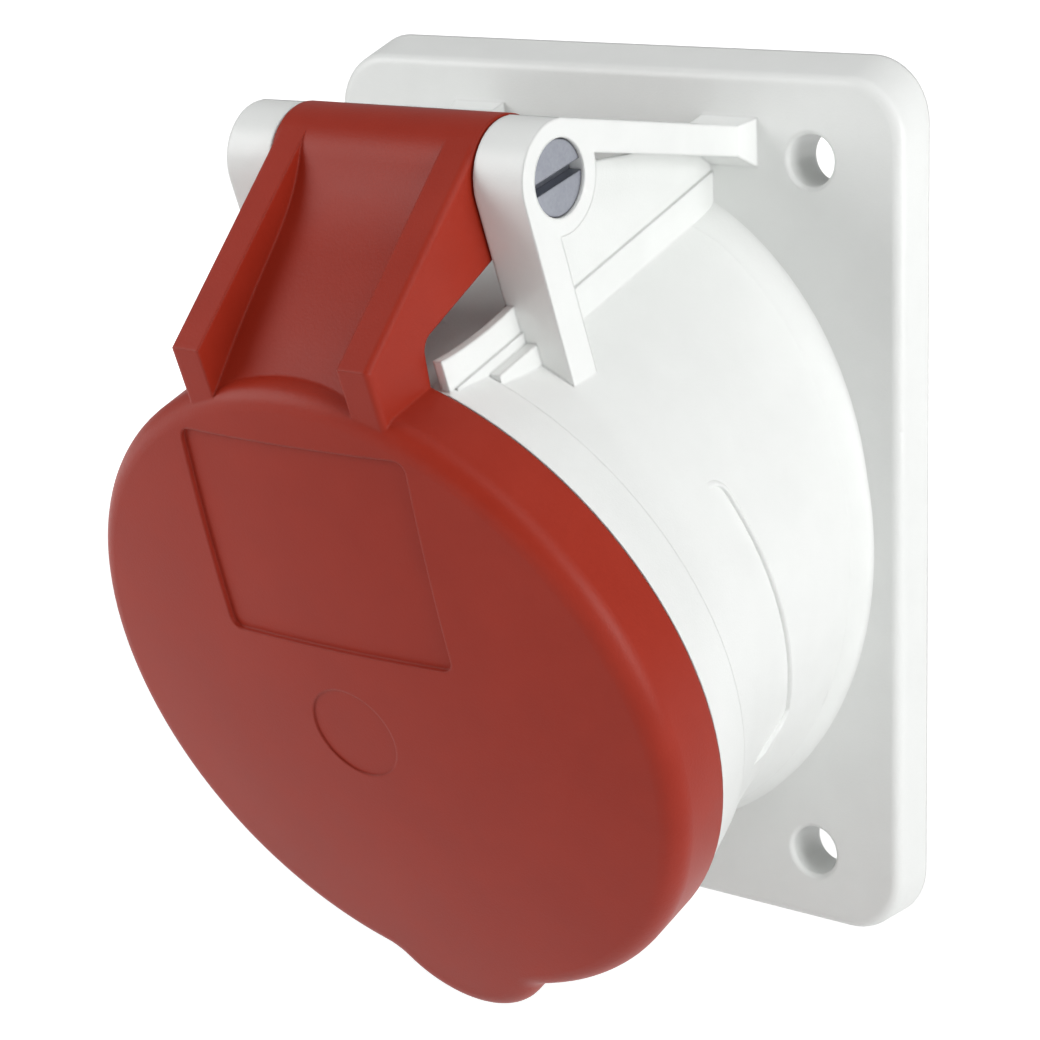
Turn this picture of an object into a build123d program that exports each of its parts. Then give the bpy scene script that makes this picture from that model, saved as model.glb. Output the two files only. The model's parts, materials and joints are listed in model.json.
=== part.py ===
from build123d import *
import math
import os

# Industrial panel socket with a sprung hinged lid, five poles, 16 A size.
# Row frame: the origin is the centre of the four-hole pattern on the flange's mounting face,
# +Z is up along the panel, -Y is outwards, +X is to the right seen from the front.
# Socket frame: x as the row's, y up along the lid's face, z outwards along the tilted socket axis.

# Driving dimensions, in millimetres and degrees
tilt = 20.0
axis_lift = 1.66

flange_thickness = 5.0
flange_side_margin = 10.2
flange_low_margin = 7.4
flange_top_margin = 8.0
flange_corner = 6.2
flange_edge = 1.1
fixing_spacing_x = 50.0
fixing_spacing_z = 70.0
fixing_hole_r = 2.55
fixing_hole_bevel = 0.35

mouth_r = 28.9
drum_wall = 2.3
lip_wall = 1.9
lip_height = 3.0
collar_front = 37.0
collar_wall = 5.4
seam_inset = 5.7
seam_wall = 4.0
seam_step = 0.18
flare_length = 13.3
tube_end = -2.0
shoe_spread_x = 0.6
shoe_spread_z = 3.6
shoe_drop = 1.83
shoe_reach = 22.0
keyway_width = 7.0
keyway_depth = 1.2

ledge_front = 6.0
ledge_thickness = 4.0
ledge_wall = 4.4

hinge_stand = 10.2
hinge_setback = 16.84
arm_inner = 12.4
arm_thickness = 5.65
arm_boss_r = 5.35
leg_thickness = 3.5
leg_root = 7.4
rib_thickness = 3.0
rib_drop = 7.9
rib_flare = 0.9
rib_flare_length = 2.0
web_thickness = 1.0
pad_half_width = 13.7
pad_stand = 0.2
pad_inset = 1.3
pad_root = -9.0
pad_depth = 4.8
shelf_half_width = 14.9
shelf_drop = 1.1
curb_height = 3.1
curb_sag = 0.6
curb_inset = 0.7

lid_overhang = 0.2
lid_height = 7.5
lid_dome = 2.6
lid_edge = 2.4
lid_wall = 2.5
lid_crown = 2.6
lid_gap = 0.3
neck_half_width = 12.1
rib_width = 3.6
neck_roll_r = 5.5
neck_nose = 3.1
neck_back = 1.7
neck_corner = 1.5
neck_edge = 0.6
web_wall = 2.6
web_lean = 58.0
web_sag = 0.5
web_foot_inset = 1.6
web_foot_drop = 0.6
window_lip = 0.5
window_drop = 1.3
tab_width = 20.4
tab_reach = 4.2
tab_root = 3.0
label_half_width = 13.8
label_height = 21.5
label_inset = 5.3
label_depth = 0.45
label_corner = 1.2
mark_recess_r = 5.0
mark_recess_x = -1.3
mark_recess_y = -2.0
mark_recess_depth = 0.15
seal_width = 4.0
seal_thickness = 1.7

pin_shaft_r = 2.6
pin_head_r = 3.5
pin_recess = 0.3
pin_head_length = 4.0
pin_blind = 3.2
pin_slot_width = 1.1
pin_slot_depth = 1.3
pin_slot_angle = 85.0
running_clearance = 0.05
bore_clearance = 0.12

spring_wire_r = 0.45
spring_bond = 0.15
spring_mean_r = 3.45
spring_turns = 7
spring_pitch = 0.86
spring_bay = 7.5
spring_room = 0.45
spring_leg_lean = 13.0

plug_gap = 4.7
insert_drop = 1.0
insert_edge = 0.8
insert_fit = 0.3
insert_foot = 3.4
pole_circle_r = 14.0
pole_count = 5
phase_pin_r = 2.5
earth_pin_r = 3.0
sleeve_wall = 1.0
sleeve_recess = 2.0
sleeve_room = 0.75
sleeve_slot_width = 0.8
sleeve_slot_length = 15.0
sleeve_bore_end = 4.0
ring_width = 2.6
ring_wall = 0.5
ring_depth = 24.0
ring_gap_angle = 36.0

terminal_size = 8.0
terminal_length = 12.0
wire_hole_r = 1.9
wire_funnel_r = 3.3
wire_funnel_clearance = 0.2
carrier_plate = 4.5
carrier_depth = 15.0
carrier_tower_wall = 7.0
carrier_clearance = 0.3
pocket_clearance = 0.15
terminal_screw_r = 1.75
terminal_screw_head_r = 2.9
terminal_screw_head = 2.4
terminal_screw_stand_off = 0.8
terminal_screw_gap = 0.4
driver_slot_width = 0.8
driver_slot_depth = 1.0
retaining_screw_r = 1.3
retaining_screw_head_r = 2.0
retaining_screw_head = 1.6
retaining_screw_inset = 2.4
retaining_screw_short = 0.6
centre_screw_r = 2.0
centre_screw_head_r = 3.6
centre_screw_head = 2.4
centre_screw_length = 22.0

gasket_width = 1.8
gasket_depth = 1.6
gasket_gap = 0.7

# Values that follow from the driving dimensions
tilt_rad = math.radians(tilt)
flange_width = fixing_spacing_x + 2 * flange_side_margin
flange_below = fixing_spacing_z / 2 + flange_low_margin
flange_above = fixing_spacing_z / 2 + flange_top_margin
arm_outer = arm_inner + arm_thickness
drum_r = mouth_r + drum_wall
collar_r = mouth_r + collar_wall
seam_depth = collar_front - seam_inset
seam_r = mouth_r + seam_wall
flare_start = seam_depth - flare_length
lid_r = collar_r + lid_overhang
lid_face = collar_front + lid_height
hinge_height = lid_r + hinge_stand
hinge_depth = collar_front - hinge_setback
pad_top = drum_r + pad_stand
pad_front = collar_front - pad_inset
saddle_floor = pad_top - pad_depth
shelf_top = pad_top - shelf_drop
insert_r = mouth_r - plug_gap
insert_face = collar_front - insert_drop
lip_front = collar_front + lip_height
lip_r = mouth_r + lip_wall
ledge_back = ledge_front - ledge_thickness
ledge_r = mouth_r - ledge_wall
foot_r = mouth_r - insert_fit
foot_back = ledge_back - insert_foot
carrier_back = foot_back - carrier_depth
leg_front = hinge_depth + arm_boss_r
leg_back = leg_front - leg_thickness
leg_foot = drum_r - leg_root
skirt_back = collar_front + lid_gap
lid_cavity_r = lid_r - lid_wall
neck_nose_y = lid_r + neck_nose
neck_back_y = lid_r + neck_back
label_high = lid_r - label_inset
label_low = label_high - label_height
lid_ceiling = lid_face - lid_crown
seal_front = lid_ceiling
seal_r = lid_cavity_r - lid_gap
pin_bore_r = pin_shaft_r + running_clearance
retaining_screw_place = mouth_r - retaining_screw_inset
carrier_tower_r = pole_circle_r + carrier_tower_wall
sleeve_front = insert_face - sleeve_recess
pole_angles = [-90.0 + 360.0 / pole_count * i for i in range(pole_count)]
pole_names = ["earth", "line_1", "line_2", "line_3", "neutral"]

socket = Plane(
    origin=(0, -math.sin(tilt_rad) * axis_lift, math.cos(tilt_rad) * axis_lift),
    x_dir=(1, 0, 0),
    z_dir=(0, -math.cos(tilt_rad), -math.sin(tilt_rad)),
)


def to_row(y, z):
    """Row y and z of a point given by its height and depth in the socket frame."""
    row_y = -math.sin(tilt_rad) * (y + axis_lift) - math.cos(tilt_rad) * z
    row_z = math.cos(tilt_rad) * (y + axis_lift) - math.sin(tilt_rad) * z
    return row_y, row_z


def turned(points):
    """Solid of revolution about the socket axis from an outline of (radius, depth) points."""
    return revolve(Plane.XZ * make_face(Polyline(*points, close=True)), Axis.Z)


def ring(outer_r, inner_r, low, high):
    """Plain ring about the socket axis between two depths."""
    return turned([(inner_r, low), (outer_r, low), (outer_r, high), (inner_r, high)])


def disc(radius, low, high):
    """Plain cylinder about the socket axis between two depths."""
    return Pos(0, 0, (low + high) / 2) * Cylinder(radius, high - low)


def side_slab(outline, x_low, x_high):
    """Slab between two x planes whose outline is given as (y, z) points."""
    face = Plane.YZ.offset(x_low) * make_face(Polyline(*outline, close=True))
    return extrude(face, x_high - x_low)


def cross_bar(radius, x_low, x_high):
    """Cylinder on the hinge axis between two x planes, in the socket frame."""
    bar = Rot(0, 90, 0) * Cylinder(radius, x_high - x_low)
    return Pos((x_low + x_high) / 2, hinge_height, hinge_depth) * bar


def span_box(x_low, x_high, y_low, y_high, z_low, z_high):
    """Box given by its limits."""
    middle = Pos((x_low + x_high) / 2, (y_low + y_high) / 2, (z_low + z_high) / 2)
    return middle * Box(x_high - x_low, y_high - y_low, z_high - z_low)


def flange_plate():
    """Flat flange whose top wall is drawn along the tilted socket axis."""
    top_back = flange_above + flange_thickness * math.tan(tilt_rad)
    outlines = []
    for offset, top in ((0.0, top_back), (flange_thickness, flange_above)):
        height = top + flange_below
        outline = Pos(0, top - height / 2) * RectangleRounded(flange_width, height, flange_corner)
        outlines.append(Plane.XZ.offset(offset) * outline)
    plate = loft(outlines, ruled=True)
    front = plate.faces().sort_by(Axis.Y)[0]
    return fillet(front.edges(), flange_edge)


def fixing_holes():
    """Four screw holes with a small bevel at the front."""
    holes = []
    for x in (-fixing_spacing_x / 2, fixing_spacing_x / 2):
        for z in (-fixing_spacing_z / 2, fixing_spacing_z / 2):
            shank = Cylinder(fixing_hole_r, 3 * flange_thickness)
            bevel = Pos(0, 0, flange_thickness - fixing_hole_bevel / 2) * Cone(
                fixing_hole_r, fixing_hole_r + fixing_hole_bevel, fixing_hole_bevel)
            holes.append(Plane.XZ * (Pos(x, z) * (shank + bevel)))
    return holes


def drum_outside():
    """Drum that narrows to a waist and flares again to the collar, with a fine seam step."""
    waist = Spline((drum_r, flare_start), (seam_r, seam_depth),
                   tangents=[(0, 1), (collar_r - seam_r, collar_front - seam_depth)])
    outline = Polyline(
        (seam_r, seam_depth),
        (seam_r + seam_step, seam_depth),
        (collar_r, collar_front),
        (lip_r, collar_front),
        (lip_r, lip_front),
        (0, lip_front),
        (0, tube_end),
        (drum_r, tube_end),
        (drum_r, flare_start),
    )
    return revolve(Plane.XZ * make_face(waist + outline), Axis.Z)


def drum_inside():
    """Space inside the drum: the plug's mouth, the ledge and the insert's seat."""
    reach = 2 * collar_front
    mouth = disc(mouth_r, ledge_front, reach)
    throat = disc(ledge_r, ledge_back, ledge_front)
    seat = disc(mouth_r, -reach, ledge_back)
    keyway = span_box(-keyway_width / 2, keyway_width / 2,
                      -mouth_r - keyway_depth, 0, ledge_front, reach)
    return mouth + throat + seat + keyway


def drum_shoe():
    """Oval foot of the drum, from an ellipse on the flange to a circle on the drum."""
    foot = Ellipse(drum_r + shoe_spread_x, drum_r + shoe_spread_z)
    ellipse = Plane.XZ * (Pos(0, -shoe_drop) * foot)
    circle = socket * Plane.XY.offset(shoe_reach) * Circle(drum_r - running_clearance)
    return loft([ellipse, circle], ruled=True)


def arm(side):
    """Hinge arm: boss, leg to the drum, top rib to the flange and the web between them."""
    x_low, x_high = sorted((side * arm_inner, side * arm_outer))
    boss = cross_bar(arm_boss_r, x_low, x_high)
    leg = span_box(x_low, x_high, leg_foot, hinge_height, leg_back, leg_front)
    hinge_y, hinge_z = to_row(hinge_height, hinge_depth)
    slope = math.tan(math.radians(rib_drop))
    rib_start_z = hinge_z + arm_boss_r / math.cos(math.radians(rib_drop))
    flange_front = -flange_thickness
    run = flange_front - hinge_y
    flare_y = flange_front - rib_flare_length
    root_y = flange_front / 2
    rib = side_slab([
        (hinge_y, rib_start_z),
        (root_y, rib_start_z - slope * (root_y - hinge_y)),
        (root_y, rib_start_z - slope * (root_y - hinge_y) - rib_thickness),
        (hinge_y, rib_start_z - rib_thickness),
    ], x_low, x_high)
    sections = []
    for y, growth in ((flare_y, 0.0), (flange_front, rib_flare)):
        middle_z = rib_start_z - slope * (y - hinge_y) - rib_thickness / 2
        middle_x = side * (arm_inner + arm_outer + growth) / 2
        section = Rectangle(arm_thickness + growth, rib_thickness + 2 * growth)
        sections.append(Plane.XZ.offset(-y) * (Pos(middle_x, middle_z) * section))
    rib = rib + loft(sections, ruled=True)
    web_low, web_high = sorted((side * arm_inner, side * (arm_inner + web_thickness)))
    pad_y, pad_z = to_row(pad_top - rib_thickness, leg_back + leg_thickness / 2)
    back_y, back_z = to_row(pad_top - rib_thickness, -leg_thickness)
    web_outline = [
        (hinge_y, hinge_z),
        (root_y, rib_start_z - slope * run - rib_thickness / 2),
        (root_y, back_z),
        (back_y, back_z),
        (pad_y, pad_z),
    ]
    web = side_slab(web_outline, web_low, web_high)
    return socket * (boss + leg) + rib + web


def saddle():
    """Flat pad on top of the drum between the arms, its lower shelf and the two curbs beside the lid."""
    pad = span_box(-pad_half_width, pad_half_width, saddle_floor, pad_top, pad_root, pad_front)
    shelf = span_box(-shelf_half_width, shelf_half_width, saddle_floor, shelf_top, leg_back, seam_depth)
    curb_top = pad_top + curb_height
    curb_end = pad_front + curb_inset
    edge = Polyline((curb_top, leg_back), (saddle_floor, leg_back), (saddle_floor, pad_front),
                    (pad_top, curb_end), (curb_top, curb_end))
    edge += ThreePointArc((curb_top, curb_end), (curb_top - curb_sag, (leg_back + curb_end) / 2), (curb_top, leg_back))
    curbs = [extrude(Plane.YZ.offset(x) * make_face(edge), web_thickness)
             for x in (arm_inner, -arm_inner - web_thickness)]
    return socket * (pad + shelf + curbs)


def housing():
    """White moulding: flange, drum, collar, saddle and hinge arms in one piece."""
    body = flange_plate() + socket * drum_outside() + drum_shoe()
    cut_top = span_box(-pad_half_width, pad_half_width, pad_top, lid_r + lid_r,
                       leg_front, collar_front + running_clearance)
    body = body - socket * cut_top
    body = body + saddle() + arm(1) + arm(-1)
    body = body - socket * drum_inside()
    head_start = arm_outer - pin_recess - pin_head_length
    body = body - socket * cross_bar(pin_head_r + bore_clearance, head_start, arm_outer + 1)
    body = body - socket * cross_bar(pin_bore_r, -arm_inner - pin_blind, arm_outer)
    for hole in fixing_holes():
        body = body - hole
    body = body - flange_gasket()
    for side in (-1, 1):
        pilot = Cylinder(retaining_screw_r - running_clearance, 2 * ledge_thickness)
        body = body - socket * (Pos(side * retaining_screw_place, 0, ledge_back) * pilot)
    return body


def flange_gasket():
    """Flat oval sealing ring round the tube, which fills its groove in the mounting face."""
    inner_x = drum_r + gasket_gap
    inner_z = drum_r / math.cos(tilt_rad) + gasket_gap
    centre_z = axis_lift / math.cos(tilt_rad)
    outer = Ellipse(inner_x + gasket_width, inner_z + gasket_width)
    inner = Ellipse(inner_x, inner_z)
    return extrude(Plane.XZ * (Pos(0, centre_z) * (outer - inner)), gasket_depth)


def hinge_pin():
    """Stepped steel pin with a slotted head, held in both arms."""
    head_end = arm_outer - pin_recess
    head_start = head_end - pin_head_length
    head = cross_bar(pin_head_r, head_start + running_clearance, head_end)
    shaft = cross_bar(pin_shaft_r, -arm_inner - pin_blind + pin_recess / 2, head_end)
    slot = Box(2 * pin_slot_depth, 3 * pin_head_r, pin_slot_width)
    slot = Pos(head_end, hinge_height, hinge_depth) * Rot(pin_slot_angle, 0, 0) * slot
    return head + shaft - slot


def lid_spring():
    """Close-wound torsion spring round the hinge pin, with its back leg standing on the saddle."""
    first = -spring_pitch * (spring_turns - 1) / 2
    flat = spring_wire_r / 2
    outside = []
    inside = []
    for turn in range(spring_turns):
        centre = turn * spring_pitch
        for offset, reach in ((-spring_pitch / 2, spring_bond), (-flat, spring_wire_r), (flat, spring_wire_r)):
            outside.append((spring_mean_r + reach, centre + offset))
            inside.append((spring_mean_r - reach, centre + offset))
    last = (spring_turns - 0.5) * spring_pitch
    outline = outside + [(spring_mean_r + spring_bond, last), (spring_mean_r - spring_bond, last)] + inside[::-1]
    coil = turned(outline)
    lean = math.radians(spring_leg_lean)
    leg_drop = hinge_height - pad_top - spring_wire_r - spring_mean_r * math.sin(lean)
    leg_length = leg_drop / math.cos(lean)
    leg = Pos(spring_mean_r, -leg_length / 2, 0) * Rot(90, 0, 0) * Cylinder(spring_wire_r, leg_length)
    spring = Rot(0, 90, 0) * (coil + leg)
    return Pos(first, hinge_height, hinge_depth) * Rot(-spring_leg_lean, 0, 0) * spring


def lid_crown_ball(drop):
    """Large ball whose top is the lid's domed face, lowered by a given amount."""
    dome_r = (lid_r ** 2 + lid_dome ** 2) / (2 * lid_dome)
    return Pos(0, 0, lid_face + lid_dome - dome_r - drop) * Rot(90, 0, 0) * Sphere(dome_r)


def face_recess(outline, depth):
    """Cutter for a shallow recess in the lid's face whose floor follows the dome."""
    prism = extrude(Plane.XY.offset(lid_face - lid_crown / 2) * outline, 2 * lid_crown)
    return prism - lid_crown_ball(depth)


def lid():
    """Red lid: domed disc with a skirt, thumb tab, label recess and the ribbed hinge neck."""
    tab_centre = -lid_r - tab_reach + tab_width / 2
    outline = Circle(lid_r) + Pos(0, tab_centre) * Circle(tab_width / 2)
    height = lid_face + 2 * lid_dome - skirt_back
    body = extrude(Plane.XY.offset(skirt_back) * outline, height)
    roots = [edge for edge in body.edges().filter_by(Axis.Z) if edge.center().Y < -lid_r / 2]
    body = fillet(roots, tab_root) & lid_crown_ball(0.0)
    front = body.faces().sort_by(Axis.Z)[-1]
    body = fillet(front.edges(), lid_edge)
    label = RectangleRounded(2 * label_half_width, label_high - label_low, label_corner)
    label = Pos(0, (label_high + label_low) / 2) * label
    body = body - face_recess(label, label_depth)
    body = body - face_recess(Pos(mark_recess_x, mark_recess_y) * Circle(mark_recess_r), mark_recess_depth)
    body = body + neck()
    hollow = disc(lid_cavity_r, skirt_back - 1, lid_ceiling)
    return body - hollow


def on_roll(radius, angle):
    """Socket y and z of a point on a circle about the hinge axis, by its angle from the y axis."""
    turn = math.radians(angle)
    return hinge_height + radius * math.cos(turn), hinge_depth + radius * math.sin(turn)


def neck():
    """Hinge neck: roll, two side ribs flush with the face, and a hollowed web between them."""
    nose = (neck_nose_y, lid_face - lid_gap)
    reach = math.hypot(nose[0] - hinge_height, nose[1] - hinge_depth)
    bearing = math.degrees(math.atan2(nose[1] - hinge_depth, nose[0] - hinge_height))
    tangent = on_roll(neck_roll_r, bearing - math.degrees(math.acos(neck_roll_r / reach)))
    root = (lid_cavity_r - web_wall, nose[1])
    back = (neck_back_y, skirt_back - 1)
    ribs = []
    for side in (-1, 1):
        x_low, x_high = sorted((side * (neck_half_width - rib_width), side * neck_half_width))
        rib = side_slab([tangent, nose, root, (root[0], skirt_back), back,
                         (hinge_height - neck_roll_r, hinge_depth)], x_low, x_high)
        rib = fillet(rib.edges().filter_by(Axis.X).sort_by(lambda edge: math.hypot(
            edge.center().Y - back[0], edge.center().Z - back[1]))[:1], neck_corner)
        rib = rib + cross_bar(neck_roll_r, x_low, x_high)
        rim = [edge for edge in rib.edges() if abs(edge.center().X) > neck_half_width - running_clearance
               and edge.center().Z - hinge_depth > hinge_height - edge.center().Y]
        rib = fillet(rim, neck_edge)
        ribs.append(rib)
    roll = cross_bar(neck_roll_r, -neck_half_width, neck_half_width)
    lean = math.radians(web_lean)
    start = on_roll(neck_roll_r, web_lean)
    foot = (lid_r - web_foot_inset, lid_face - web_foot_drop)
    run = (foot[0] - start[0], foot[1] - start[1])
    length = math.hypot(run[0], run[1])
    outward = (run[1] / length, -run[0] / length)
    middle = ((start[0] + foot[0]) / 2 - web_sag * outward[0], (start[1] + foot[1]) / 2 - web_sag * outward[1])
    web_front = Spline(start, middle, foot, tangents=[(-math.sin(lean), math.cos(lean)), run])
    back_middle = (middle[0] - web_wall * outward[0], middle[1] - web_wall * outward[1])
    web_back = Spline((pad_top + lid_gap, skirt_back), back_middle, on_roll(spring_mean_r, web_lean))
    web_face = make_face(web_front + Line(web_front @ 1, web_back @ 0) + web_back
                         + Line(web_back @ 1, web_front @ 0))
    inner = neck_half_width - rib_width / 2
    web = extrude(Plane.YZ.offset(-inner) * web_face, 2 * inner)
    bay = cross_bar(spring_mean_r + spring_wire_r + spring_room, -spring_bay, spring_bay)
    back_window = span_box(-spring_bay, spring_bay, hinge_height - 2 * neck_roll_r,
                           hinge_height + neck_roll_r - window_lip,
                           hinge_depth - 2 * neck_roll_r, hinge_depth - window_drop)
    bore = cross_bar(pin_bore_r, -neck_half_width - 1, neck_half_width + 1)
    body = (roll - bay - back_window) + (web - bay)
    for rib in ribs:
        body = body + rib
    return body - bore


def lid_seal():
    """Flat sealing ring under the lid's crown, facing the lip of the mouth."""
    return ring(seal_r, seal_r - seal_width, seal_front - seal_thickness, seal_front)


def pole_place(angle, radius):
    """Location of a pole seen along the socket axis, turned so that its x points outwards."""
    return Rot(0, 0, angle) * Pos(radius, 0, 0)


def pole_bore(name):
    """Radius of the contact pin that a pole takes."""
    return earth_pin_r if name == "earth" else phase_pin_r


def insert_cuts():
    """Screw holes that run through both carriers."""
    cuts = disc(centre_screw_r + bore_clearance, carrier_back - 1, foot_back + centre_screw_length)
    for side in (-1, 1):
        hole = disc(retaining_screw_r + bore_clearance, carrier_back - 1, ledge_back + 1)
        cuts = cuts + Pos(side * retaining_screw_place, 0, 0) * hole
    return cuts


def front_carrier():
    """Insulating insert: the cylinder that the plug's shroud surrounds, with five pin entries."""
    column = disc(insert_r, foot_back, insert_face)
    column = fillet(column.edges().sort_by(Axis.Z)[-1:], insert_edge)
    body = column + disc(foot_r, foot_back, ledge_back)
    for name, angle in zip(pole_names, pole_angles):
        pin_r = pole_bore(name)
        entry = disc(pin_r + running_clearance, sleeve_front - 1, insert_face + 1)
        chamber = disc(pin_r + sleeve_wall + sleeve_room, foot_back - 1, sleeve_front)
        body = body - pole_place(angle, pole_circle_r) * (entry + chamber)
    return body - insert_cuts()


def rear_carrier():
    """Rear insulator with five outward pockets for the terminals."""
    carrier_front = foot_back - running_clearance
    body = disc(foot_r, carrier_front - carrier_plate, carrier_front)
    body = body + disc(carrier_tower_r, carrier_back, carrier_front)
    half = terminal_size / 2 + pocket_clearance
    for angle in pole_angles:
        pocket = span_box(pole_circle_r - half, 2 * foot_r, -half, half,
                          carrier_front - terminal_length - pocket_clearance, carrier_front + 1)
        pocket_back = carrier_front - terminal_length - pocket_clearance
        funnel_depth = pocket_back - carrier_back
        wire_way = Pos(pole_circle_r, 0, carrier_back + funnel_depth / 2) * Cone(
            wire_funnel_r, wire_hole_r + wire_funnel_clearance, funnel_depth)
        body = body - Rot(0, 0, angle) * (pocket + wire_way)
    recess = disc(centre_screw_head_r + carrier_clearance, carrier_back - 1, carrier_back + centre_screw_head)
    return body - recess - insert_cuts()


def contact_sleeve(name, angle):
    """Slotted brass sleeve with its terminal block, turned and milled from one bar."""
    pin_r = pole_bore(name)
    bore_r = pin_r + running_clearance
    outer_r = pin_r + sleeve_wall
    block_front = foot_back - running_clearance
    block_back = block_front - terminal_length
    tube = disc(outer_r, block_front - 1, sleeve_front - running_clearance)
    half = terminal_size / 2
    block = span_box(-half, half, -half, half, block_back, block_front)
    body = tube + block - disc(bore_r, sleeve_bore_end, sleeve_front + 1)
    slit = span_box(-2 * outer_r, 2 * outer_r, -sleeve_slot_width / 2, sleeve_slot_width / 2,
                    sleeve_front - sleeve_slot_length, sleeve_front + 1)
    body = body - slit - Rot(0, 0, 90) * slit
    body = body - disc(wire_hole_r, block_back - 1, block_front - 1)
    tapped = Pos(half, 0, (block_back + block_front) / 2) * Rot(0, 90, 0) * Cylinder(
        terminal_screw_r, terminal_size)
    body = body - tapped
    return pole_place(angle, pole_circle_r) * body


def sleeve_ring(name, angle):
    """Open spring ring that presses a slotted sleeve onto the pin."""
    inner_r = pole_bore(name) + sleeve_wall + running_clearance
    body = ring(inner_r + ring_wall, inner_r, ring_depth, ring_depth + ring_width)
    gap = span_box(0, 2 * inner_r, -inner_r * math.sin(math.radians(ring_gap_angle / 2)),
                   inner_r * math.sin(math.radians(ring_gap_angle / 2)),
                   ring_depth - 1, ring_depth + ring_width + 1)
    return pole_place(angle, pole_circle_r) * (body - Rot(0, 0, 45) * gap)


def slotted_screw(shank_r, head_r, head_height, length):
    """Cheese-head screw with a driver slot, shank along -z and its head's seat at z = 0."""
    shank = Pos(0, 0, -length / 2) * Cylinder(shank_r, length)
    head = Pos(0, 0, head_height / 2) * Cylinder(head_r, head_height)
    slot = Pos(0, 0, head_height) * Box(3 * head_r, driver_slot_width, 2 * driver_slot_depth)
    return shank + head - slot


def terminal_screw(angle):
    """Clamping screw that enters a terminal block from outside."""
    half = terminal_size / 2
    reach = half - terminal_screw_gap
    screw = slotted_screw(terminal_screw_r - running_clearance, terminal_screw_head_r,
                          terminal_screw_head, reach + terminal_screw_stand_off)
    block_front = foot_back - running_clearance
    middle = block_front - terminal_length / 2
    place = Pos(pole_circle_r + half + terminal_screw_stand_off, 0, middle)
    return Rot(0, 0, angle) * place * Rot(0, 90, 0) * screw


def retaining_screws():
    """Two screws that hold the insert against the drum's ledge."""
    seat = foot_back - running_clearance - carrier_plate
    length = ledge_front - retaining_screw_short - seat
    screw = Rot(0, 180, 0) * slotted_screw(retaining_screw_r - 2 * running_clearance,
                                           retaining_screw_head_r, retaining_screw_head, length)
    return [Pos(side * retaining_screw_place, 0, seat) * screw for side in (-1, 1)]


def centre_screw():
    """Screw that ties the rear carrier to the front one."""
    seat = carrier_back + centre_screw_head
    screw = slotted_screw(centre_screw_r, centre_screw_head_r, centre_screw_head, centre_screw_length)
    return Pos(0, 0, seat) * Rot(0, 180, 0) * screw


def main():
    """Build every piece and write one STEP file for each."""
    os.makedirs("parts", exist_ok=True)
    pieces = {
        "housing": housing(),
        "flange_gasket": flange_gasket(),
        "front_carrier": socket * front_carrier(),
        "rear_carrier": socket * rear_carrier(),
        "retaining_screws": Compound(children=[socket * screw for screw in retaining_screws()]),
        "centre_screw": socket * centre_screw(),
        "hinge_pin": socket * hinge_pin(),
        "lid_spring": socket * lid_spring(),
        "lid": socket * lid(),
        "lid_seal": socket * lid_seal(),
    }
    for name, angle in zip(pole_names, pole_angles):
        pieces[f"{name}_contact"] = socket * contact_sleeve(name, angle)
        pieces[f"{name}_spring_ring"] = socket * sleeve_ring(name, angle)
        pieces[f"{name}_clamp_screw"] = socket * terminal_screw(angle)
    for name, shape in pieces.items():
        export_step(shape, f"parts/{name}.step")


main()
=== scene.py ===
import json
import math

import bpy
import numpy as np
from mathutils import Matrix


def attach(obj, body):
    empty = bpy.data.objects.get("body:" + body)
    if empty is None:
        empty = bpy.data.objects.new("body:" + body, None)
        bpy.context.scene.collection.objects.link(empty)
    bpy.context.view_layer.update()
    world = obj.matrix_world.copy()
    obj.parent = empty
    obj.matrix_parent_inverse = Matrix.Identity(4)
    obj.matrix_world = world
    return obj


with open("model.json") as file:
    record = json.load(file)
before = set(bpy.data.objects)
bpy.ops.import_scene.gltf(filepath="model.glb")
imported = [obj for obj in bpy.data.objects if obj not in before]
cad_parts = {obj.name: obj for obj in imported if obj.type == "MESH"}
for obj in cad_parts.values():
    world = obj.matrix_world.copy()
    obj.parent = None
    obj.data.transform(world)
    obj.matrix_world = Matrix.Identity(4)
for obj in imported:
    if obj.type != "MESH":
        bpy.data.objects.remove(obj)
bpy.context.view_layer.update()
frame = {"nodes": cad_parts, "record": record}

MM = 0.001

# The socket's own directions: outwards along the tilted mouth, up along the lid's face
TILT = math.radians(20.0)
OUTWARDS = np.array([0.0, -math.cos(TILT), -math.sin(TILT)])
UPWARDS = np.array([0.0, -math.sin(TILT), math.cos(TILT)])
SIDEWAYS = np.array([1.0, 0.0, 0.0])
AXIS_LIFT = 1.66

# Drum between its waist and the seam, in millimetres
DRUM_R = 31.2
WAIST_Z = 18.0
FLARE = (0.00925, 2.03)

# Border of the bare land on the drum's right side: angle in degrees, depth in millimetres
LAND_PATH = ((27.6, 22.3), (27.3, 21.2), (26.0, 20.65), (-21.5, 20.65), (-23.6, 22.0), (-24.6, 27.4))
LAND_PROFILE = ((-0.62, -0.06), (-0.54, 0.12), (-0.38, 0.34), (-0.20, 0.45), (-0.02, 0.46),
                (0.04, 0.38), (0.05, -0.08))
LAND_FADE = 2.5
LAND_STEP = 0.12
LAND_ROUNDING = 9

# Foot of the drum: the flange's front, the tube's end along its own axis, the foot's ellipse on the
# panel's face (its middle and half widths) and how far up the drum it reaches, in millimetres
FLANGE_FRONT = 5.0
TUBE_END = -2.0
FOOT_MIDDLE = -1.83
FOOT_HALVES = (31.8, 34.8)
FOOT_REACH = 22.0
FOOT_POINTS = 361

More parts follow.
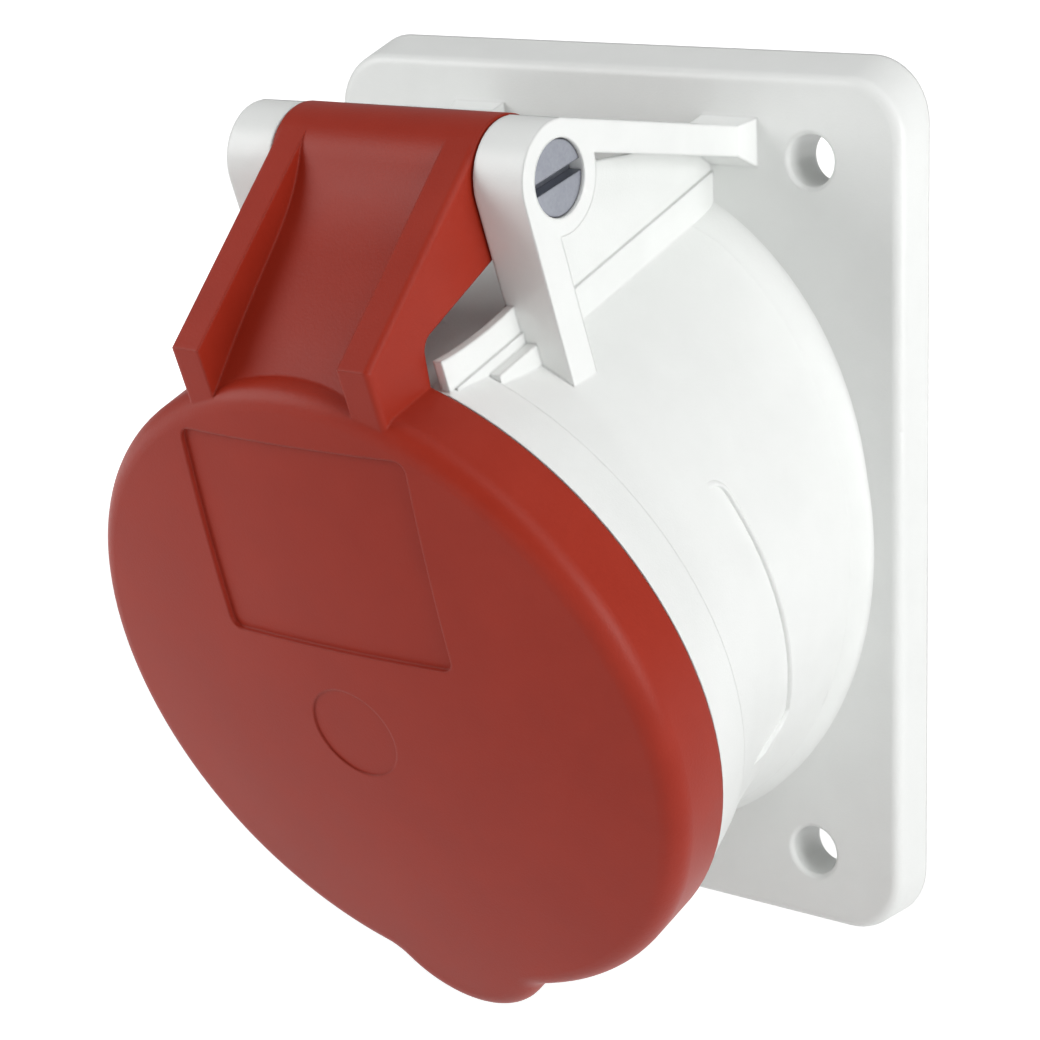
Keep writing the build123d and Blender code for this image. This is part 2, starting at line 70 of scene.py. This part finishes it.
# Soft root on that foot, in millimetres: its height, its width, how far it stands proud of the wall,
# where it starts over the drum's end and runs out of the wall, and how far it sinks in the flange
ROOT_RISE = 2.8
ROOT_SPREAD = 0.5
ROOT_PROUD = 0.03
ROOT_START = 0.5
ROOT_LEAD = 0.15
ROOT_SINK = 0.1
ROOT_ARC_POINTS = 9

# Ends and step of the root round the drum, in degrees
ROOT_ENDS = (-248.0, 68.0)
ROOT_STEP = 2.0


def link(piece, body):
    """Puts a piece in the scene and makes it ride on a body."""
    bpy.context.scene.collection.objects.link(piece)
    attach(piece, body)


def in_row(x, y, z):
    """Row position in metres of socket points: x aside, y up the face and z outwards, in millimetres."""
    x, y, z = np.broadcast_arrays(x, y, z)
    place = (x[..., None] * SIDEWAYS
             + (y[..., None] + AXIS_LIFT) * UPWARDS
             + z[..., None] * OUTWARDS)
    return place * MM


def sheet_mesh(name, points):
    """Smooth mesh of a grid of points: each cell of the (rows, columns, 3) array is a four-sided face."""
    rows, columns = points.shape[:2]
    index = np.arange(rows * columns).reshape(rows, columns)
    faces = np.stack([index[:-1, :-1], index[:-1, 1:], index[1:, 1:], index[1:, :-1]], axis=-1)
    mesh = bpy.data.meshes.new(name)
    mesh.from_pydata(points.reshape(-1, 3).tolist(), [], faces.reshape(-1, 4).tolist())
    mesh.polygons.foreach_set("use_smooth", np.full(len(mesh.polygons), True))
    mesh.update()
    return mesh


def drum_radius(z):
    """Radius of the drum at a depth z: its own radius, and past the waist a little over a square law."""
    past = np.maximum(np.asarray(z, float) - WAIST_Z, 0.0)
    return DRUM_R + FLARE[0] * past ** FLARE[1]


def drum_land():
    """Raised border of the bare land, a small profile carried along an open path on the drum.

    The path's corners are rounded by averaging it over a short window. At each of its points the
    profile is laid across it, outwards of the land on one side, and its height over the drum fades
    to nothing over the last stretch at both ends.
    """
    corners = np.array(LAND_PATH)
    flat = np.stack([np.radians(corners[:, 0]) * DRUM_R, corners[:, 1]], axis=1)
    steps = np.concatenate([[0.0], np.cumsum(np.linalg.norm(np.diff(flat, axis=0), axis=1))])
    length = steps[-1]
    even = np.arange(0.0, length, LAND_STEP)
    path = np.stack([np.interp(even, steps, flat[:, i]) for i in range(2)], axis=1)
    window = np.ones(LAND_ROUNDING) / LAND_ROUNDING
    margin = LAND_ROUNDING // 2
    padded = np.pad(path, ((margin, margin), (0, 0)), mode="edge")
    path = np.stack([np.convolve(padded[:, i], window, mode="valid") for i in range(2)], axis=1)
    ahead = np.gradient(path, axis=0)
    ahead = ahead / np.linalg.norm(ahead, axis=1)[:, None]
    inwards = np.stack([ahead[:, 1], -ahead[:, 0]], axis=1)
    fade = np.clip(np.minimum(even, length - even) / LAND_FADE, 0.0, 1.0)
    fade = fade * fade * (3 - 2 * fade)
    offset, height = np.array(LAND_PROFILE).T
    place = path[:, None, :] + inwards[:, None, :] * offset[None, :, None]
    lift = np.where(height[None, :] > 0, height[None, :] * fade[:, None], height[None, :])
    angle = place[..., 0] / DRUM_R
    radius = drum_radius(place[..., 1]) + lift
    points = in_row(radius * np.cos(angle), radius * np.sin(angle), place[..., 1])
    return bpy.data.objects.new("drum_land", sheet_mesh("drum_land", points))


def foot_outline(angle, depth):
    """Distance of the drum's outside from the row's Y axis, at an angle and a depth before the panel.

    It is the larger of two: the tilted drum itself, and its oval foot, whose straight lines run from
    an ellipse on the panel's face to a circle on the drum. The foot's distance is read between the
    two lines on either side of the angle, and the drum's solves the square law of its circle.
    """
    turn = np.linspace(-math.pi, math.pi, FOOT_POINTS)
    high = in_row(DRUM_R * np.cos(turn), DRUM_R * np.sin(turn), FOOT_REACH) / MM
    low_x = FOOT_HALVES[0] * np.cos(turn)
    low_z = FOOT_MIDDLE + FOOT_HALVES[1] * np.sin(turn)
    share = -depth[..., None] / high[:, 1]
    line_x = low_x + (high[:, 0] - low_x) * share
    line_z = low_z + (high[:, 2] - low_z) * share
    bearing = np.unwrap(np.arctan2(line_z, line_x))
    distance = np.hypot(line_x, line_z)
    first = bearing[..., :1]
    wanted = first + np.mod(angle[..., None] - first, 2 * math.pi)
    after = np.clip((bearing <= wanted).sum(axis=-1, keepdims=True), 1, FOOT_POINTS - 1)
    start, end = [np.take_along_axis(bearing, index, axis=-1) for index in (after - 1, after)]
    near, far = [np.take_along_axis(distance, index, axis=-1) for index in (after - 1, after)]
    foot = (near + (far - near) * (wanted - start) / (end - start))[..., 0]
    rise = math.sin(TILT) * depth - AXIS_LIFT
    slope = math.cos(TILT) * np.sin(angle)
    square = np.cos(angle) ** 2 + slope ** 2
    tube = (np.sqrt((rise * slope) ** 2 - square * (rise ** 2 - DRUM_R ** 2)) - rise * slope) / square
    return np.maximum(foot, tube)


def drum_root():
    """Soft root of the drum on the flange, from one side of the saddle round to the other.

    Each section starts a little inside the drum, runs down its wall, just proud of it, and turns
    out on to the flange along a quarter of a tall ellipse. Where the drum's tube stops short of the
    flange, the section starts higher and carries the wall down.
    """
    angle = np.radians(np.arange(ROOT_ENDS[0], ROOT_ENDS[1] + ROOT_STEP / 2, ROOT_STEP))[:, None]
    arc = np.linspace(0.0, math.pi / 2, ROOT_ARC_POINTS)
    tube_foot = math.sin(TILT) * (DRUM_R * np.sin(angle) + AXIS_LIFT) + math.cos(TILT) * TUBE_END
    top = np.maximum(ROOT_RISE, tube_foot - FLANGE_FRONT) + ROOT_START
    lead = top - ROOT_LEAD
    quarter = np.broadcast_to(ROOT_RISE * (1 - np.sin(arc)), (len(angle), ROOT_ARC_POINTS))
    height = np.concatenate(
        [top, lead, 0.5 * (lead + ROOT_RISE), quarter, np.full_like(top, -ROOT_SINK)], axis=1)
    offset = np.concatenate(
        [[-ROOT_PROUD, ROOT_PROUD, ROOT_PROUD], ROOT_PROUD + ROOT_SPREAD * (1 - np.cos(arc)),
         [ROOT_SPREAD + ROOT_SINK]])
    depth = FLANGE_FRONT + height
    reach = foot_outline(angle, depth) + offset
    points = np.stack([reach * np.cos(angle), -depth, reach * np.sin(angle)], axis=-1) * MM
    return bpy.data.objects.new("drum_root", sheet_mesh("drum_root", points))


# Shader groups, with scales in features per metre and lengths in millimetres

FLOW_SCALE = 38.0
CLOUD_SCALE = 210.0
PATCH_SCALE = 420.0
PIT_SCALE = 5200.0
PAINTED_EDGE_RADIUS = 0.35
BEVEL_SAMPLES = 6
TONE_ENDS = (0.34, 0.66)


def new_group(name, inputs, outputs):
    """Empty shader group with named number inputs and typed outputs."""
    group = bpy.data.node_groups.new(name, "ShaderNodeTree")
    for label, value in inputs.items():
        socket = group.interface.new_socket(label, in_out="INPUT", socket_type="NodeSocketFloat")
        socket.default_value = value
    for label, kind in outputs.items():
        group.interface.new_socket(label, in_out="OUTPUT", socket_type=kind)
    return group, group.nodes.new("NodeGroupInput"), group.nodes.new("NodeGroupOutput")


def maths(tree, operation, first, second=None, third=None):
    """Math node whose inputs are sockets or numbers."""
    node = tree.nodes.new("ShaderNodeMath")
    node.operation = operation
    for place, value in enumerate((first, second, third)):
        if value is None:
            continue
        if isinstance(value, (int, float)):
            node.inputs[place].default_value = value
        else:
            tree.links.new(value, node.inputs[place])
    return node.outputs[0]


def blend_masks(tree, first, second, share):
    """Two masks added: a share of the first and the rest of the second."""
    rest = maths(tree, "MULTIPLY", second, 1.0 - share)
    return maths(tree, "ADD", maths(tree, "MULTIPLY", first, share), rest)


def rounded_normal(tree, radius):
    """Normal of the surface with its edges rounded over a radius in millimetres."""
    node = tree.nodes.new("ShaderNodeBevel")
    node.samples = BEVEL_SAMPLES
    node.inputs["Radius"].default_value = radius * MM
    return node.outputs["Normal"]


def hand_out(group, result, sockets):
    """Links sockets to a group's outputs by name, and gives the group back."""
    for label, socket in sockets.items():
        group.links.new(socket, result.inputs[label])
    return group


def noise(tree, vector, scale, detail, roughness):
    """Noise texture on a vector; the scale is a number or a socket."""
    node = tree.nodes.new("ShaderNodeTexNoise")
    node.inputs["Detail"].default_value = detail
    node.inputs["Roughness"].default_value = roughness
    tree.links.new(vector, node.inputs["Vector"])
    if isinstance(scale, (int, float)):
        node.inputs["Scale"].default_value = scale
    else:
        tree.links.new(scale, node.inputs["Scale"])
    return node.outputs["Fac"]


def object_place(tree, stretch=(1.0, 1.0, 1.0), turn=(0.0, 0.0, 0.0)):
    """Object coordinates through a Mapping node that stretches and turns them."""
    where = tree.nodes.new("ShaderNodeTexCoord")
    mapping = tree.nodes.new("ShaderNodeMapping")
    mapping.inputs["Scale"].default_value = stretch
    mapping.inputs["Rotation"].default_value = turn
    tree.links.new(where.outputs["Object"], mapping.inputs["Vector"])
    return mapping.outputs["Vector"]


def moulded_skin():
    """Skin of a moulding: spark-eroded grain, broad flow mottling and polished patches."""
    group, given, result = new_group(
        "moulded_skin",
        {"Grains per metre": 3600.0, "Roughness": 0.4, "Roughness spread": 0.08},
        {"Tone": "NodeSocketFloat", "Roughness": "NodeSocketFloat", "Height": "NodeSocketFloat"})
    place = object_place(group)
    grain = noise(group, place, given.outputs["Grains per metre"], 3.0, 0.6)
    flow = noise(group, object_place(group, (1.0, 2.2, 0.6), (0.3, 0.5, 0.2)), FLOW_SCALE, 3.0, 0.55)
    cloud = noise(group, place, CLOUD_SCALE, 2.0, 0.5)
    swing = maths(group, "SUBTRACT", blend_masks(group, cloud, grain, 0.6), 0.5)
    rough = maths(group, "MULTIPLY_ADD", swing, given.outputs["Roughness spread"], given.outputs["Roughness"])
    height = maths(group, "ADD", grain, maths(group, "MULTIPLY", cloud, 0.5))
    tone = blend_masks(group, flow, cloud, 0.65)
    return hand_out(group, result, {"Tone": tone, "Roughness": rough, "Height": height})


def drawn_metal():
    """Drawn or turned metal: long streaks along one direction, fine pits and dull patches."""
    group, given, result = new_group(
        "drawn_metal",
        {"Streaks per metre": 2600.0, "Roughness": 0.34, "Roughness spread": 0.2},
        {"Tone": "NodeSocketFloat", "Roughness": "NodeSocketFloat", "Height": "NodeSocketFloat"})
    streaks = noise(group, object_place(group, (0.06, 1.0, 1.0), (0.0, 0.1, 0.35)),
                    given.outputs["Streaks per metre"], 4.0, 0.65)
    place = object_place(group)
    patches = noise(group, place, PATCH_SCALE, 3.0, 0.6)
    pits = noise(group, place, PIT_SCALE, 1.0, 0.5)
    tone = blend_masks(group, streaks, patches, 0.6)
    rough = maths(group, "MULTIPLY_ADD", maths(group, "SUBTRACT", tone, 0.5),
                  given.outputs["Roughness spread"], given.outputs["Roughness"])
    height = blend_masks(group, streaks, pits, 0.7)
    return hand_out(group, result, {"Tone": tone, "Roughness": rough, "Height": height})


def crest_light():
    """Mask of the sharp edges, from how far the rounded normal leans away from the true one; the finishes
    paint highlights along it, and a shade ring on the pin.
    """
    group, given, result = new_group("crest_light", {"Gain": 1.6}, {"Mask": "NodeSocketFloat"})
    surface = group.nodes.new("ShaderNodeNewGeometry")
    dot = group.nodes.new("ShaderNodeVectorMath")
    dot.operation = "DOT_PRODUCT"
    group.links.new(rounded_normal(group, PAINTED_EDGE_RADIUS), dot.inputs[0])
    group.links.new(surface.outputs["Normal"], dot.inputs[1])
    lean = maths(group, "SUBTRACT", 1.0, dot.outputs["Value"])
    mask = maths(group, "MINIMUM", maths(group, "MULTIPLY", lean, given.outputs["Gain"]), 1.0)
    return hand_out(group, result, {"Mask": mask})


SKIN = moulded_skin()
DRAWN = drawn_metal()
PAINTED_EDGE_MASK_GROUP = crest_light()


def finish(name, group, values, dark, pale, bump, bevel, crest=None, metallic=0.0, specular=0.5):
    """Material from a surface group: two tones mixed by its mask, its roughness, and its relief.

    The relief stands on a normal that is rounded over the given edge radius in millimetres. A painted edge
    colour, where given, is mixed in along the sharp edges: painted highlight, and on the pin painted shade.
    """
    material = bpy.data.materials.new(name)
    material.use_nodes = True
    tree = material.node_tree
    shader = tree.nodes["Principled BSDF"]
    shader.inputs["Metallic"].default_value = metallic
    shader.inputs["Specular IOR Level"].default_value = specular
    surface = tree.nodes.new("ShaderNodeGroup")
    surface.node_tree = group
    for label, value in values.items():
        surface.inputs[label].default_value = value
    ramp = tree.nodes.new("ShaderNodeValToRGB")
    for stop, position, tint in zip(ramp.color_ramp.elements, TONE_ENDS, (dark, pale)):
        stop.position = position
        stop.color = (*tint, 1.0)
    tree.links.new(surface.outputs["Tone"], ramp.inputs["Fac"])
    colour = ramp.outputs["Color"]
    # Painted highlight along the sharp edges, and on the pin a dark painted shade ring, mixed into the base
    # colour by the edge mask
    if crest is not None:
        edge = tree.nodes.new("ShaderNodeGroup")
        edge.node_tree = PAINTED_EDGE_MASK_GROUP
        mix = tree.nodes.new("ShaderNodeMix")
        mix.data_type = "RGBA"
        mix.inputs["B"].default_value = (*crest, 1.0)
        tree.links.new(edge.outputs["Mask"], mix.inputs["Factor"])
        tree.links.new(colour, mix.inputs["A"])
        colour = mix.outputs["Result"]
    tree.links.new(colour, shader.inputs["Base Color"])
    tree.links.new(surface.outputs["Roughness"], shader.inputs["Roughness"])
    relief = tree.nodes.new("ShaderNodeBump")
    relief.inputs["Strength"].default_value = 1.0
    relief.inputs["Distance"].default_value = bump * MM
    tree.links.new(surface.outputs["Height"], relief.inputs["Height"])
    tree.links.new(rounded_normal(tree, bevel), relief.inputs["Normal"])
    tree.links.new(relief.outputs["Normal"], shader.inputs["Normal"])
    return material


def moulding(name, grains, roughness, spread, dark, pale, **rest):
    """Moulded finish, with its grains per metre, its roughness and how far that varies."""
    values = {"Grains per metre": grains, "Roughness": roughness, "Roughness spread": spread}
    return finish(name, SKIN, values, dark, pale, **rest)


def metal(name, streaks, roughness, spread, dark, pale, **rest):
    """Drawn or turned metal finish, with its streaks per metre, its roughness and how far that varies."""
    values = {"Streaks per metre": streaks, "Roughness": roughness, "Roughness spread": spread}
    return finish(name, DRAWN, values, dark, pale, metallic=1.0, **rest)


# Each of the record's material slots and its finish. The edge colours are painted highlights, lighter than
# each finish's tones; the pin's dark one is painted shade round its head and slot.
FINISHES = {
    "housing_moulding": moulding(
        "housing_white", 3800.0, 0.36, 0.1, (0.80, 0.815, 0.80), (0.84, 0.855, 0.84),
        crest=(0.88, 0.89, 0.88), bump=0.02, bevel=0.45),
    "lid_moulding": moulding(
        "lid_red", 4200.0, 0.42, 0.12, (0.302, 0.021, 0.008), (0.337, 0.027, 0.012),
        crest=(0.38, 0.04, 0.022), bump=0.018, bevel=0.4, specular=0.2),
    "insert_moulding": moulding(
        "insert_black", 3000.0, 0.55, 0.14, (0.022, 0.023, 0.026), (0.036, 0.037, 0.04),
        crest=(0.06, 0.062, 0.065), bump=0.025, bevel=0.25),
    "seal_rubber": moulding(
        "seal_rubber", 5200.0, 0.74, 0.16, (0.03, 0.03, 0.032), (0.05, 0.05, 0.053),
        bump=0.03, bevel=0.2),
    # Dark edge colour: painted shade ring round the pin's head and slot, where the gap to the bore lies in
    # shadow
    "pin_steel": metal(
        "pin_steel", 2600.0, 0.36, 0.24, (0.30, 0.315, 0.36), (0.37, 0.385, 0.43),
        crest=(0.07, 0.07, 0.08), bump=0.01, bevel=0.15),
    "spring_steel": metal(
        "spring_wire", 5200.0, 0.30, 0.2, (0.38, 0.38, 0.39), (0.56, 0.56, 0.56),
        bump=0.006, bevel=0.08),
    "plated_steel": metal(
        "zinc_plate", 3200.0, 0.28, 0.22, (0.52, 0.53, 0.52), (0.70, 0.71, 0.69),
        crest=(0.78, 0.79, 0.78), bump=0.008, bevel=0.12),
    "contact_brass": metal(
        "contact_brass", 3600.0, 0.26, 0.2, (0.62, 0.43, 0.17), (0.80, 0.60, 0.28),
        crest=(0.86, 0.68, 0.36), bump=0.008, bevel=0.12),
}


def dress_nodes():
    """Gives every node of the frame the finish of its record slot."""
    for part in frame["record"]["subparts"]:
        node = frame["nodes"][part["node"]]
        for place in node.material_slots:
            place.material = FINISHES[part["material_slot"]]


dress_nodes()

for trim in (drum_land(), drum_root()):
    link(trim, "socket_body")
    trim.data.materials.append(FINISHES["housing_moulding"])


# Stage, lights and camera, in metres

FLOOR_Z = -0.075
FLOOR_HALF = 3.0
FLOOR_COLOUR = (0.86, 0.86, 0.86)
FLOOR_ROUGHNESS = 0.9
MIDDLE = (0.0, -0.02, 0.0)

# The floor's glow: the radius where it starts to grow, and its strength within it and far away
GLOW_NEAR = 0.22
GLOW = (0.5, 1.0)

# The world's light on the part, and the strength at which mirrored rays see it
WORLD_LEVEL = 0.24
WORLD_MIRRORED = 0.35

# Each lamp's name, place, side in metres and power in watts
LAMPS = (
    ("side_key", (0.75, -0.1, 0.12), 0.4, 3.2),
    ("high_key", (0.5, -0.15, 0.6), 0.4, 1.2),
    ("top_fill", (0.02, -0.1, 0.8), 0.5, 0.7),
    ("left_fill", (-0.6, -0.5, 0.3), 0.5, 3.4),
)

# The camera's right, up and back directions, its place, and its lens in millimetres
CAMERA_AXES = ((0.78005, 0.62501, -0.02963), (-0.13267, 0.21149, 0.96833), (0.61149, -0.75142, 0.24789))
CAMERA_PLACE = (0.180944, -0.242101, 0.072787)
CAMERA_LENS = 102.64
CAMERA_SENSOR = 36.0
CAMERA_NEAR = 0.01


def shown_share(tree, mirrored):
    """One for rays that show the background itself, the given share for mirrored ones, else nothing."""
    path = tree.nodes.new("ShaderNodeLightPath")
    seen = maths(tree, "MAXIMUM", path.outputs["Is Camera Ray"], path.outputs["Is Transmission Ray"])
    return maths(tree, "MAXIMUM", seen, maths(tree, "MULTIPLY", path.outputs["Is Glossy Ray"], mirrored))


def pale_floor():
    """Large flat floor under the part, pale, and near white to the camera and in mirrored rays.

    Its glow grows with the distance from the part, from a radius to twice as far, so the part's
    shadow stays and the far floor runs into white.
    """
    low, high = -FLOOR_HALF, FLOOR_HALF
    corners = [(low, low, FLOOR_Z), (high, low, FLOOR_Z), (high, high, FLOOR_Z), (low, high, FLOOR_Z)]
    mesh = bpy.data.meshes.new("pale_floor")
    mesh.from_pydata(corners, [], [(0, 1, 2, 3)])
    floor = bpy.data.objects.new("pale_floor", mesh)
    bpy.context.scene.collection.objects.link(floor)
    material = bpy.data.materials.new("floor_paper")
    material.use_nodes = True
    tree = material.node_tree
    shader = tree.nodes["Principled BSDF"]
    shader.inputs["Base Color"].default_value = (*FLOOR_COLOUR, 1.0)
    shader.inputs["Roughness"].default_value = FLOOR_ROUGHNESS
    far = tree.nodes.new("ShaderNodeVectorMath")
    far.operation = "LENGTH"
    tree.links.new(object_place(tree, (1.0, 1.0, 0.0)), far.inputs[0])
    share = maths(tree, "MULTIPLY_ADD", far.outputs["Value"], 1.0 / GLOW_NEAR, -1.0)
    share = maths(tree, "MINIMUM", maths(tree, "MAXIMUM", share, 0.0), 1.0)
    strength = maths(tree, "MULTIPLY_ADD", share, GLOW[1] - GLOW[0], GLOW[0])
    glow = tree.nodes.new("ShaderNodeEmission")
    tree.links.new(maths(tree, "MULTIPLY", shown_share(tree, 1.0), strength), glow.inputs["Strength"])
    add = tree.nodes.new("ShaderNodeAddShader")
    tree.links.new(shader.outputs["BSDF"], add.inputs[0])
    tree.links.new(glow.outputs["Emission"], add.inputs[1])
    tree.links.new(add.outputs["Shader"], tree.nodes["Material Output"].inputs["Surface"])
    mesh.materials.append(material)


def studio_world():
    """Even grey light from all round, seen as white by the camera and as grey in mirrored rays."""
    world = bpy.data.worlds.new("studio")
    bpy.context.scene.world = world
    world.use_nodes = True
    tree = world.node_tree
    background = tree.nodes["Background"]
    background.inputs["Color"].default_value = (1.0, 1.0, 1.0, 1.0)
    strength = maths(tree, "MAXIMUM", shown_share(tree, WORLD_MIRRORED), WORLD_LEVEL)
    tree.links.new(strength, background.inputs["Strength"])


def stand(name, data, axes, place):
    """New object from a lamp or camera, with its right, up and back directions, at a place."""
    holder = bpy.data.objects.new(name, data)
    holder.matrix_world = Matrix([[axis[i] for axis in axes] + [place[i]] for i in range(3)] + [[0, 0, 0, 1]])
    bpy.context.scene.collection.objects.link(holder)
    return holder


def soft_lamp(name, place, size, power):
    """Square area lamp that looks at the part's middle."""
    lamp = bpy.data.lights.new(name, "AREA")
    lamp.size = size
    lamp.energy = power
    back = np.array(place) - np.array(MIDDLE)
    back = back / np.linalg.norm(back)
    side = np.cross((0.0, 0.0, 1.0), back)
    side = side / np.linalg.norm(side)
    stand(name, lamp, (side, np.cross(back, side), back), place)


def photo_camera():
    """Camera where the photograph was taken from, with its own slight roll."""
    lens = bpy.data.cameras.new("photo_camera")
    lens.sensor_width = CAMERA_SENSOR
    lens.lens = CAMERA_LENS
    lens.clip_start = CAMERA_NEAR
    bpy.context.scene.camera = stand("photo_camera", lens, CAMERA_AXES, CAMERA_PLACE)


pale_floor()
studio_world()
for lamp_values in LAMPS:
    soft_lamp(*lamp_values)
photo_camera()

bpy.context.scene.view_settings.view_transform = "Standard"
